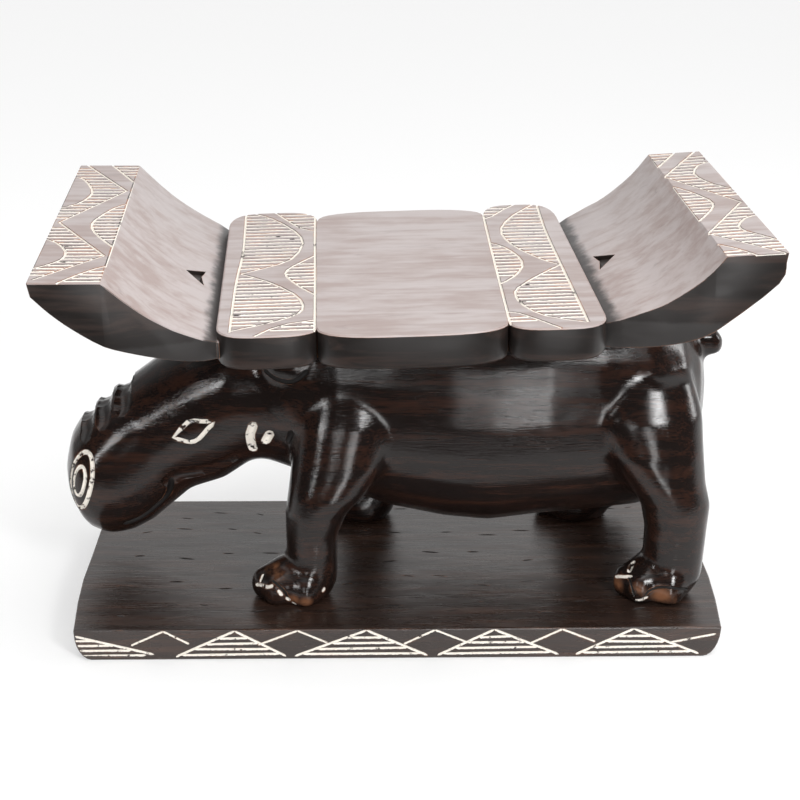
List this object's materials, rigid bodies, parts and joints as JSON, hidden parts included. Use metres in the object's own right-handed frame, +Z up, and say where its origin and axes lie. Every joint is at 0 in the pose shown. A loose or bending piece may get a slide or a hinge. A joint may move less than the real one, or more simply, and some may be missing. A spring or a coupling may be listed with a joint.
{
  "type": "accent stool",
  "caption": "Low wooden stool: a scalloped seat with upturned wings, carried by a carved hippopotamus that stands on a rectangular base board.",
  "frame": {"origin": "middle of the object's box at the underside, on the floor under the board", "axes": "+X along the seat's length, away from the animal's muzzle; +Y away from the viewer in the picture, across the seat; +Z up"},
  "size_m": [0.4546, 0.2832, 0.2874],
  "materials": {
    "board_wood": "dark brown stained hardwood, satin wax",
    "figure_wood": "near-black brown stained hardwood, polished to a gloss",
    "seat_wood": "dark brown stained hardwood, satin wax, white pigment rubbed into the carved lines",
    "dowel_wood": "plain unstained hardwood rod"
  },
  "bodies": {
    "root": {"board": "board_wood", "hippopotamus": "figure_wood", "seat": "seat_wood", "dowel_near_front": "dowel_wood", "dowel_near_rear": "dowel_wood", "dowel_far_front": "dowel_wood", "dowel_far_rear": "dowel_wood", "dowel_shoulder": "dowel_wood", "dowel_back": "dowel_wood", "dowel_hip": "dowel_wood"}
  },
  "joints": []
}
